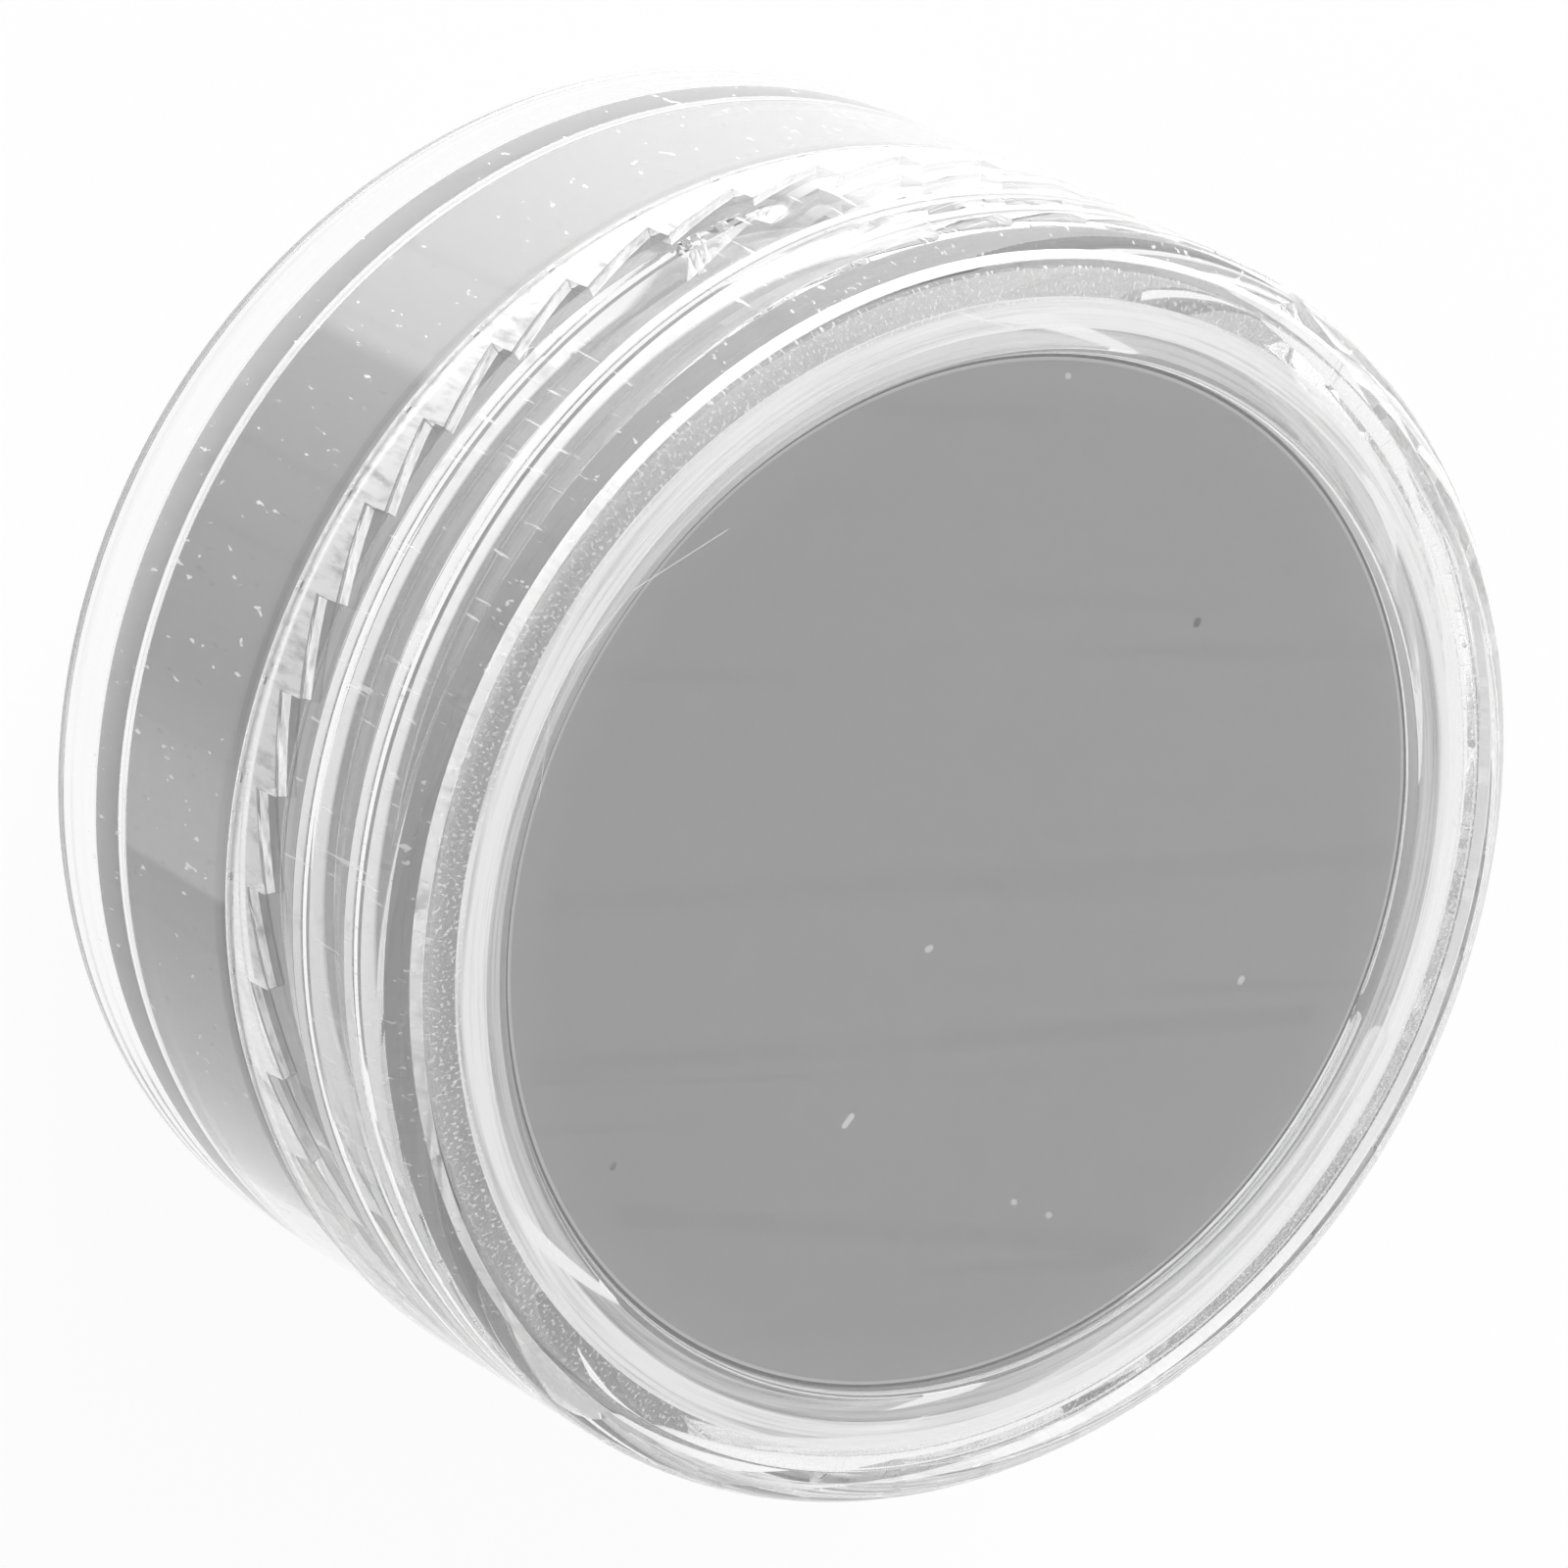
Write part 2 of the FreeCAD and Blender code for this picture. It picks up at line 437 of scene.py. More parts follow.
@dataclass(frozen=True)
class GreyColour:
    """Matt solid grey colour, with painted shade on its top, painted light and shade round its side, a
    painted shadow in the gap at its top edge with a painted highlight inside it, and painted light near the
    floor.
    """

    name: str = "grey_colour"
    level: float = 0.285
    side_radius: float = 28.5 * MM
    # Painted light and shade round the cake's side: paler and darker sectors about the axis.
    side_light_patches: tuple[SideLightPatch, ...] = (
        SideLightPatch(175.0, 254.5, 1.42, 10.0, 1.2),
        SideLightPatch(254.5, 272.0, 0.98, 1.2, 8.0),
        SideLightPatch(292.0, 304.8, 1.4, 6.0, 0.5),
        SideLightPatch(304.8, 345.0, 0.88, 0.5, 4.0),
    )
    specks: tuple[Speck, ...] = (
        Speck((12.3, 0.5), (12.8, 0.4), 0.22 * MM, 2.6),
        Speck((-1.9, 17.6), (-2.0, 17.6), 0.24 * MM, 2.4),
        Speck((3.7, -0.2), (3.8, -0.3), 0.22 * MM, 2.4),
        Speck((12.4, 11.7), (12.4, 11.8), 0.2 * MM, 2.2),
        Speck((12.2, 14.0), (12.2, 14.1), 0.2 * MM, 2.2),
        Speck((-22.2, -9.3), (-22.2, -9.2), 0.18 * MM, 2.0),
        Speck((-15.5, 4.5), (-15.6, 4.5), 0.26 * MM, 0.15),
        Speck((19.2, -10.4), (19.3, -10.4), 0.2 * MM, 0.5),
        Speck((9.9, -20.5), (-10.4, 21.5), 0.8 * MM, 0.94),
        Speck((16.9, -16.7), (-2.4, 23.2), 0.6 * MM, 0.955),
        Speck((7.0, 3.4), (-2.0, 22.4), 0.7 * MM, 0.95),
        Speck((21.0, -8.4), (11.4, 20.3), 0.7 * MM, 0.92),
    )
    # Painted shade: the top is painted darker than the side.
    top_shade_share: float = 0.87
    edge_radius: float = 24.93 * MM
    edge_width: float = 0.16 * MM
    edge_height: float = 29.8 * MM
    # Painted shadow: a thin dark ring at the top's edge, in the gap between the cake and the mouth.
    gap_shadow_share: float = 0.15
    # Painted highlight: a thin pale ring just inside the dark edge.
    lip_highlight_share: float = 1.7
    # Painted light: the cake is painted paler near the floor, where its underside lies in shade.
    underside_light_height: float = 6.0 * MM
    underside_light_fade: float = 1.0 * MM
    underside_light_share: float = 3.0
    cloud_scale: float = 90.0
    cloud_change: float = 0.06
    streak_line: tuple[float, float] = (-0.395, 0.918)
    streak_grain: tuple[float, float, float] = (25.0, 700.0, 0.0)
    streak_cover: tuple[float, float] = (0.55, 0.75)
    streak_change: float = -0.09
    # Painted light: a paler ring towards the top's edge.
    halo_light_radii: tuple[float, float] = (22.0 * MM, 25.0 * MM)
    halo_light_change: float = 0.1
    roughness: float = 0.85
    sheen: float = 0.2

    def mottling(self, tree: NodeTree, place: Wire, spot: Polar) -> Wire:
        """Share of the plain tone with its clouds, its fine streaks and a painted paler ring near the edge,
        which is painted light.
        """
        cloud = tree.value("ShaderNodeTexNoise", None,
                           {"Vector": place, "Scale": self.cloud_scale, "Detail": 4.0})
        along, across = self.streak_line
        turned = tree.value("ShaderNodeVectorRotate", {"rotation_type": "Z_AXIS"},
                            {"Vector": place, "Angle": -math.atan2(across, along)})
        drawn = tree.vector("MULTIPLY", turned, self.streak_grain)
        streak = tree.value("ShaderNodeTexNoise", None, {"Vector": drawn, "Scale": 1.0, "Detail": 2.0})
        streaked = streak.smooth(*self.streak_cover) * self.streak_change
        # painted light: paler ring near the top's edge
        painted_halo = spot.radius.smooth(*self.halo_light_radii) * self.halo_light_change
        return 1.0 + (cloud - 0.5) * self.cloud_change + streaked + painted_halo

    def make(self) -> bpy.types.Material:
        """Build the material."""
        material, tree = new_material(self.name)
        place = tree.value("ShaderNodeTexCoord", output="Object")
        spot = Polar.of(tree, place)
        top = spot.up.maths("GREATER_THAN", self.edge_height)
        # painted shadow ring at the top's edge, and a painted highlight ring just inside it
        gap_shadow = top * spot.radius.maths("GREATER_THAN", self.edge_radius)
        lip_highlight = top * spot.radius.maths("GREATER_THAN", self.edge_radius - self.edge_width) - gap_shadow
        # painted light near the floor
        underside_light = spot.up.smooth(self.underside_light_height, self.underside_light_height - self.underside_light_fade)
        side = spot.radius.maths("GREATER_THAN", self.side_radius)
        # painted shade on the top
        changes = [top * (self.top_shade_share - 1.0)]
        changes += [top * speck.change(tree, place) for speck in self.specks]
        # painted light and shade on the side
        changes += [side * light_patch.change(spot.turn) for light_patch in self.side_light_patches]
        changes += [where * (share - 1.0) for where, share in (
            (gap_shadow, self.gap_shadow_share), (lip_highlight, self.lip_highlight_share), (underside_light, self.underside_light_share))]
        share = self.mottling(tree, place, spot)
        for change in changes:
            share = share * (1.0 + change)
        tone = tree.value("ShaderNodeCombineColor", None,
                          {name: share * self.level for name in ("Red", "Green", "Blue")})
        paint = tree.node("ShaderNodeBsdfPrincipled", None, {
            "Base Color": tone,
            "Roughness": self.roughness,
            "Specular IOR Level": self.sheen,
        })
        tree.node("ShaderNodeOutputMaterial", None, {"Surface": paint.outputs[0]})
        return material


@dataclass(frozen=True)
class PaleFloor:
    """White floor that keeps the shadow and shows white through clear plastic."""

    name: str = "pale_floor"
    level: float = 0.9
    white_share: float = 0.93

    def make(self) -> bpy.types.Material:
        """Build the material."""
        material, tree = new_material(self.name)
        sheet = tree.node("ShaderNodeBsdfDiffuse", None, {"Color": grey(self.level)})
        glow = tree.node("ShaderNodeEmission", None, {"Color": grey(1.0), "Strength": 1.0})
        shown = tree.seen() * self.white_share
        mixed = tree.node("ShaderNodeMixShader", None,
                          {0: shown, 1: sheet.outputs[0], 2: glow.outputs[0]})
        tree.node("ShaderNodeOutputMaterial", None, {"Surface": mixed.outputs[0]})
        return material


@dataclass(frozen=True)
class Corner:
    """A corner of a turned section, and the relief of the run from it to the next corner."""

    radius: float
    height: float
    rounding: float = 0.0
    relief: Relief = Relief.PLAIN


@dataclass(frozen=True)
class Row:
    """One row of points round the axis, level or climbing with the thread."""

    radius: float
    height: float
    climb: float = 0.0
    low: float = -1.0
    high: float = 1.0
    relief: Relief = Relief.PLAIN

    def places(self, turns: np.ndarray) -> np.ndarray:
        """Points of the row at the given turns about the axis."""
        spin = turns * FULL_TURN
        height = np.clip(self.height + self.climb * turns, self.low, self.high)
        return np.c_[self.radius * np.cos(spin), self.radius * np.sin(spin), height]


@dataclass(frozen=True)
class Thread:
    """Screw thread of several starts, standing out from a wall or into a bore."""

    depth: float = 0.0
    pitch: float = 4.5 * MM
    starts: int = 2
    level: float = 0.0
    low_end: float = 0.0
    high_end: float = 0.0
    run_out: float = 0.12 * MM
    crest_half: float = 0.4 * MM
    upper_flank: float = 0.35 * MM
    lower_flank: float = 0.7 * MM

    @property
    def lead(self) -> float:
        """Climb in one turn."""
        return self.pitch * self.starts

    def offsets(self) -> tuple[float, ...]:
        """Heights of the section's edges about the middle of a crest, from below."""
        low, high = -self.crest_half, self.crest_half
        return (low - self.lower_flank, low, high, high + self.upper_flank,
                (high + self.upper_flank + self.pitch + low - self.lower_flank) / 2)

    def rows(self, radius: float, start: float, end: float) -> list[Row]:
        """Rows along the thread between two heights of a straight wall.

        Args:
            radius: the wall's radius.
            start: the height at which the run starts.
            end: the height at which it ends, above or below the start.

        Returns:
            Climbing rows that stay between the two heights.
        """
        low, high = min(start, end), max(start, end)
        first = math.floor((low - self.level - self.lead) / self.pitch) - 1
        last = math.ceil((high - self.level) / self.pitch) + 1
        heights = [self.level + turn * self.pitch + offset
                   for turn in range(first, last + 1) for offset in self.offsets()]
        rows = [Row(radius, height, self.lead, low, high, Relief.THREAD) for height in heights]
        return rows if start < end else rows[::-1]


@dataclass(frozen=True)
class RubbedBand:
    """A strip along a thread that is rubbed white, between two heights about the middle of a crest."""

    thread: Thread
    low: float
    high: float
    inner: float
    outer: float
    amount: float
    cover: float = 0.3
    size: tuple[float, float, float] = (500.0, 0.0, 300.0)
    soft: float = 0.04 * MM

    def mask(self, tree: NodeTree, place: Wire) -> Wire:
        """How rubbed a place is.

        Args:
            tree: the material's tree.
            place: the place on the piece.

        Returns:
            Up to the band's amount in the strip, and 0 elsewhere.
        """
        spot = Polar.of(tree, place)
        away, middle = spot.on_thread(self.thread.level, self.thread.pitch, self.thread.starts)
        above = away.smooth(self.low - self.soft, self.low + self.soft)
        below = away.smooth(self.high + self.soft, self.high - self.soft)
        begun = middle.maths("GREATER_THAN", self.thread.low_end)
        along = begun * middle.maths("LESS_THAN", self.thread.high_end)
        depth = spot.between(self.inner, self.outer)
        rubbed = grain(tree, place, spot, self.size, self.cover) * self.amount
        return above * below * along * depth * rubbed


class TurnedShell:
    """A solid of revolution as a grid of rows, with relief marked on some of them."""

    ARC_STEP = math.radians(9)
    EDGE_ROW = 0.12 * MM
    WELD = 1e-7

    def __init__(self, corners: list[Corner], thread: Thread = Thread()) -> None:
        """Lay the rows along the section, which runs from axis to axis with the outside on its right."""
        self.rows: list[Row] = []
        bends = [self.bend(corners, index) for index in range(len(corners))]
        for index, bend in enumerate(bends):
            relief = corners[index].relief
            arriving = corners[index - 1].relief is Relief.RATCHET
            toothed = Relief.RATCHET if arriving or relief is Relief.RATCHET else Relief.PLAIN
            self.rows.extend(Row(*place, relief=toothed) for place in bend)
            if index + 1 == len(bends):
                break
            start, end = bend[-1], bends[index + 1][0]
            if relief is Relief.THREAD:
                self.rows.extend(thread.rows(start[0], start[1], end[1]))
            else:
                self.rows.extend(self.between(start, end, relief))

    def between(self, start: tuple[float, float], end: tuple[float, float], relief: Relief) -> list[Row]:
        """Rows just inside the two ends of a straight run, which keep its shading flat."""
        gap = math.dist(start, end)
        if gap < 4 * self.EDGE_ROW:
            return []
        share = self.EDGE_ROW / gap
        outward, upward = end[0] - start[0], end[1] - start[1]
        return [Row(start[0] + outward * part, start[1] + upward * part, relief=relief)
                for part in (share, 1 - share)]

    def bend(self, corners: list[Corner], index: int) -> list[tuple[float, float]]:
        """Places along one rounded corner.

        Args:
            corners: the whole section.
            index: which corner.

        Returns:
            One place for a sharp corner, or several along its arc.
        """
        here = Vector((corners[index].radius, corners[index].height))
        rounding = corners[index].rounding
        if rounding == 0.0 or index in (0, len(corners) - 1):
            return [tuple(here)]
        last = Vector((corners[index - 1].radius, corners[index - 1].height))
        following = Vector((corners[index + 1].radius, corners[index + 1].height))
        to_last = (last - here).normalized()
        to_next = (following - here).normalized()
        half = to_last.angle(to_next) / 2
        setback = rounding / math.tan(half)
        centre = here + (to_last + to_next).normalized() * (rounding / math.sin(half))
        first = here + to_last * setback - centre
        turn = first.angle_signed(here + to_next * setback - centre)
        count = max(2, math.ceil(abs(turn) / self.ARC_STEP))
        places = []
        for step in range(count + 1):
            spoke = first.copy()
            spoke.rotate(Matrix.Rotation(-turn * step / count, 2))
            places.append(tuple(centre + spoke))
        return places

    def mesh(self, name: str, turns: np.ndarray) -> bpy.types.Mesh:
        """Turn the section through the given columns and weld the seam, the poles and the rows' ends.

        Args:
            name: the mesh's name.
            turns: the columns' turns about the axis, from 0 up to 1.

        Returns:
            A closed mesh with "thread" and "ratchet" weights on its points.
        """
        columns = np.r_[turns, turns[0] + 1]
        places = np.vstack([row.places(columns) for row in self.rows])
        index = np.arange(len(self.rows) * len(columns)).reshape(len(self.rows), len(columns))
        quads = np.stack([index[:-1, :-1], index[:-1, 1:], index[1:, 1:], index[1:, :-1]], axis=-1)
        made = bpy.data.meshes.new(name)
        made.from_pydata(places.tolist(), [], quads.reshape(-1, 4).tolist())
        for kind in (Relief.THREAD, Relief.RATCHET):
            weights = np.repeat([1.0 if row.relief is kind else 0.0 for row in self.rows], len(columns))
            label = made.attributes.new(kind.value, "FLOAT", "POINT")
            label.data.foreach_set("value", weights.astype(np.float32))
        shape = bmesh.new()
        shape.from_mesh(made)
        bmesh.ops.remove_doubles(shape, verts=shape.verts, dist=self.WELD)
        shape.to_mesh(made)
        shape.free()
        return made


class ReliefTree:
    """Shape tree that presses a screw thread and ratchet teeth into a turned shell."""

    NUMBERS = ("Pitch", "Starts", "Level", "Depth", "Low End", "High End", "Run Out", "Crest Half",
               "Upper Flank", "Lower Flank", "Tooth Count", "Tooth Height", "Tooth Start")
    SHARP_ANGLE = math.radians(30)

    def __init__(self) -> None:
        """Build the tree once."""
        self.group = bpy.data.node_groups.new("thread_and_ratchet", "GeometryNodeTree")
        face = self.group.interface
        face.new_socket("Geometry", in_out="INPUT", socket_type="NodeSocketGeometry")
        for name in self.NUMBERS:
            face.new_socket(name, in_out="INPUT", socket_type="NodeSocketFloat")
        face.new_socket("Finish", in_out="INPUT", socket_type="NodeSocketMaterial")
        face.new_socket("Geometry", in_out="OUTPUT", socket_type="NodeSocketGeometry")
        tree = NodeTree(self.group)
        given = tree.node("NodeGroupInput")
        size = {name: Wire(tree, given.outputs[name]) for name in self.NUMBERS}
        moved = tree.node("GeometryNodeSetPosition", None,
                          {"Geometry": given.outputs["Geometry"], "Offset": self.offset(tree, size)})
        real = tree.node("GeometryNodeRealizeInstances", None, {"Geometry": moved.outputs[0]})
        dressed = tree.node("GeometryNodeSetMaterial", None,
                            {"Geometry": real.outputs[0], "Material": given.outputs["Finish"]})
        tree.node("NodeGroupOutput", None, {"Geometry": dressed.outputs[0]})

    @staticmethod
    def offset(tree: NodeTree, size: dict[str, Wire]) -> Wire:
        """How far each point moves.

        Args:
            tree: the tree that is being built.
            size: the tree's named inputs.

        Returns:
            The offset vector.
        """
        place = tree.value("GeometryNodeInputPosition")
        spot = Polar.of(tree, place)
        threaded, toothed = (
            tree.value("GeometryNodeInputNamedAttribute", {"data_type": "FLOAT"}, {"Name": kind.value})
            for kind in (Relief.THREAD, Relief.RATCHET))
        away, middle = spot.on_thread(size["Level"], size["Pitch"], size["Starts"])
        begin = ((middle - size["Low End"]) / size["Run Out"]).smooth(0.0, 1.0)
        finish = ((size["High End"] - middle) / size["Run Out"]).smooth(0.0, 1.0)
        upper = ((size["Crest Half"] + size["Upper Flank"] - away) / size["Upper Flank"]).held()
        lower = ((size["Crest Half"] + size["Lower Flank"] + away) / size["Lower Flank"]).held()
        outward = upper * lower * begin * finish * size["Depth"] * threaded
        ramp = ((spot.turn - size["Tooth Start"]) * size["Tooth Count"]).maths("FRACT")
        upward = ramp * size["Tooth Height"] * toothed
        flat = tree.vector("MULTIPLY", place, LEVEL)
        spoke = tree.value("ShaderNodeVectorMath", {"operation": "NORMALIZE"}, {0: flat})
        sideways = tree.value("ShaderNodeVectorMath", {"operation": "SCALE"}, {0: spoke, "Scale": outward})
        lifted = tree.value("ShaderNodeCombineXYZ", None, {2: upward})
        return tree.vector("ADD", sideways, lifted)

    def press(self, mesh: bpy.types.Mesh, finish: bpy.types.Material, thread: Thread = Thread(),
              ratchet: Ratchet = Ratchet(height=0.0)) -> bpy.types.Object:
        """Press the relief into a mesh.

        Args:
            mesh: a turned shell with its weights.
            finish: the material of the result.
            thread: the screw thread, if it has one.
            ratchet: the ring of teeth, if it has one.

        Returns:
            A plain mesh object at the origin.
        """
        blank = bpy.data.objects.new(mesh.name, mesh)
        bpy.context.scene.collection.objects.link(blank)
        modifier = blank.modifiers.new("relief", "NODES")
        modifier.node_group = self.group
        given = (thread.pitch, float(thread.starts), thread.level, thread.depth,
                 thread.low_end, thread.high_end, thread.run_out, thread.crest_half,
                 thread.upper_flank, thread.lower_flank,
                 float(ratchet.count), ratchet.height, ratchet.start_turn, finish)
        for name, number in zip((*self.NUMBERS, "Finish"), given):
            modifier[self.group.interface.items_tree[name].identifier] = number
        graph = bpy.context.evaluated_depsgraph_get()
        pressed = bpy.data.meshes.new_from_object(blank.evaluated_get(graph))
        blank.modifiers.remove(modifier)
        blank.data = pressed
        pressed.name = mesh.name + "_mesh"
        for polygon in pressed.polygons:
            polygon.use_smooth = True
        pressed.set_sharp_from_angle(angle=self.SHARP_ANGLE)
        return blank


def even_turns(count: int) -> np.ndarray:
    """Evenly spaced columns for one full turn."""
    return np.arange(count) / count


def tooth_turns(ratchet: Ratchet, steps: int, step_share: float = 0.012) -> np.ndarray:
    """Columns that follow the ratchet: even along each ramp, close together at each step."""
    shares = np.linspace(step_share, 1 - step_share, steps)
    turns = (np.arange(ratchet.count)[:, None] + shares[None, :]).ravel() / ratchet.count
    return np.sort(np.mod(turns + ratchet.start_turn, 1.0))


def dress(piece: bpy.types.Object, body: str, node: str) -> bpy.types.Object:
    """Let a piece stand for a node of the frame.

    Args:
        piece: the finished mesh object.
        body: the body that it moves with.
        node: the node that it stands for.

    Returns:
        The piece.
    """
    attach(piece, body)
    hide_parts(node)
    log.info("%s: %d faces on %s", piece.name, len(piece.data.polygons), body)
    return piece


@dataclass
class Jar:
    """Jar with one thin wall, a recessed base and a narrower threaded neck."""

    foot_radius: float = 31.4 * MM
    shoulder_radius: float = 31.2 * MM
    body_wall: float = 1.6 * MM
    foot_rounding: float = 0.5 * MM
    base_lift: float = 3.0 * MM
    base_wall: float = 1.6 * MM
    base_rounding: float = 1.5 * MM
    recess_rounding: float = 0.3 * MM
    shoulder_height: float = 16.6 * MM
    shoulder_wall: float = 1.4 * MM
    shoulder_rounding: float = 0.5 * MM
    throat_rounding: float = 0.8 * MM
    mouth_radius: float = 25.1 * MM
    neck_radius: float = 27.5 * MM
    neck_top: float = 30.5 * MM
    neck_rounding: float = 0.4 * MM
    root_rounding: float = 0.3 * MM
    columns: int = 440
    thread: Thread = Thread(
        depth=1.15 * MM, level=12.6 * MM, low_end=18.3 * MM, high_end=28.6 * MM,
        crest_half=0.8 * MM, upper_flank=0.38 * MM, lower_flank=1.24 * MM)
    crest_edges: tuple[tuple[float, float], ...] = ((-0.96 * MM, -0.84 * MM), (0.24 * MM, 0.38 * MM))

    @property
    def base_top(self) -> float:
        """Height of the cavity's floor."""
        return self.base_lift + self.base_wall

    @property
    def shoulder_underside(self) -> float:
        """Height of the cavity's ceiling round the throat."""
        return self.shoulder_height - self.shoulder_wall

    def cavity(self, inset: float = 0.0, lift: float = 0.0) -> list[Corner]:
        """Corners of the cavity from the throat down to the floor, or of a body that lies inside it.

        Args:
            inset: how far the body stays clear of the walls.
            lift: how far it stays clear of the floor.

        Returns:
            The corners from the lower end of the mouth's bore to the middle of the floor.
        """
        ceiling = self.shoulder_underside - inset
        bottom = self.base_top + lift
        wall = self.body_wall + inset
        return [
            Corner(self.mouth_radius - inset, ceiling, self.throat_rounding + inset),
            Corner(self.shoulder_radius - wall, ceiling, self.throat_rounding - inset),
            Corner(self.foot_radius - wall, bottom, self.base_rounding - inset),
            Corner(0, bottom),
        ]

    def corners(self) -> list[Corner]:
        """Section from the underside of the base round to the inside of the base."""
        return [
            Corner(0, self.base_lift),
            Corner(self.foot_radius - self.body_wall, self.base_lift, self.recess_rounding),
            Corner(self.foot_radius - self.body_wall, 0, self.recess_rounding),
            Corner(self.foot_radius, 0, self.foot_rounding),
            Corner(self.shoulder_radius, self.shoulder_height, self.shoulder_rounding),
            Corner(self.neck_radius, self.shoulder_height, self.root_rounding, Relief.THREAD),
            Corner(self.neck_radius, self.neck_top, self.neck_rounding),
            Corner(self.mouth_radius, self.neck_top, self.neck_rounding),
            *self.cavity(),
        ]

    def frosted(self) -> tuple[Mark, ...]:
        """The mouth's top, scuffs on the outer wall, and the edges of the thread's crest."""
        crest = self.neck_radius + self.thread.depth
        mouth = FrostZone(
            low=self.neck_top - HAIR, high=self.neck_top + HAIR,
            inner=self.mouth_radius + 10 * HAIR, outer=self.neck_radius,
            amount=0.55, grain=(80.0, 4000.0, 0.0))
        side = FrostZone(
            low=self.base_lift, high=self.shoulder_underside,
            inner=self.shoulder_radius - HAIR, outer=self.foot_radius,
            amount=0.6, grain=(2600.0, 0.0, 900.0), cover=0.69, fade=0.03)
        edges = (RubbedBand(self.thread, low, high, crest - 6 * HAIR, crest + HAIR, amount=0.8)
                 for low, high in self.crest_edges)
        return mouth, side, *edges

    def build(self, relief: ReliefTree, finish: bpy.types.Material) -> bpy.types.Object:
        """Make the jar's mesh and dress the jar node with it."""
        shell = TurnedShell(self.corners(), self.thread).mesh("clear_jar", even_turns(self.columns))
        return dress(relief.press(shell, finish, self.thread), "jar", "jar")


@dataclass
class Cake:
    """Grey colour cast in the jar, a hair clear of the wall but wet against the floor and upper neck."""

    jar: Jar
    below_mouth: float = 0.45 * MM
    shrinkage: float = 0.05 * MM
    floor_gap: float = -0.02 * MM
    mouth_gap: float = -0.06 * MM
    edge_rounding: float = 0.15 * MM
    columns: int = 360

    def corners(self) -> list[Corner]:
        """Section from the middle of the underside round to the middle of the top."""
        top = self.jar.neck_top - self.below_mouth
        return [
            *reversed(self.jar.cavity(self.shrinkage, self.floor_gap)),
            Corner(self.jar.mouth_radius - self.mouth_gap, top, self.edge_rounding),
            Corner(0, top),
        ]

    def build(self, relief: ReliefTree, finish: bpy.types.Material) -> bpy.types.Object:
        """Make the cake's mesh and dress the cake node with it."""
        shell = TurnedShell(self.corners()).mesh("grey_cake", even_turns(self.columns))
        return dress(relief.press(shell, finish), "jar", "colour_cake")


@dataclass
class SealingDisc:
    """Thin clear disc held in the lid over the jar's mouth."""

    bottom: float = 30.6 * MM
    thickness: float = 0.5 * MM
    radius: float = 28.9 * MM
    rounding: float = 0.1 * MM
    ring_radii: tuple[float, float] = (26.5 * MM, 27.9 * MM)
    speck_radii: tuple[float, float] = (27.7 * MM, 29.0 * MM)
    columns: int = 360

    @property
    def top(self) -> float:
        """Height of the disc's upper face."""
        return self.bottom + self.thickness

    def corners(self) -> list[Corner]:
        """Section from the middle of the underside round to the middle of the top."""
        return [
            Corner(0, self.bottom),
            Corner(self.radius, self.bottom, self.rounding),
            Corner(self.radius, self.top, self.rounding),
            Corner(0, self.top),
        ]

    def frosted(self) -> tuple[Mark, ...]:
        """The ring that the mouth presses on, and specks along the outer edge."""
        low, high = self.top - HAIR, self.top + HAIR
        ring = FrostZone(low, high, *self.ring_radii, amount=0.85, grain=(80.0, 4000.0, 0.0), cover=0.35)
        specks = FrostZone(low, high, *self.speck_radii, amount=0.6, grain=(6000.0, 0.0, 0.0), cover=0.6,
                           fade=0.1)
        return ring, specks

    def build(self, relief: ReliefTree, finish: bpy.types.Material) -> bpy.types.Object:
        """Make the disc's mesh and dress the disc node with it."""
        shell = TurnedShell(self.corners()).mesh("clear_sealing_disc", even_turns(self.columns))
        return dress(relief.press(shell, finish), "seal", "sealing_disc")


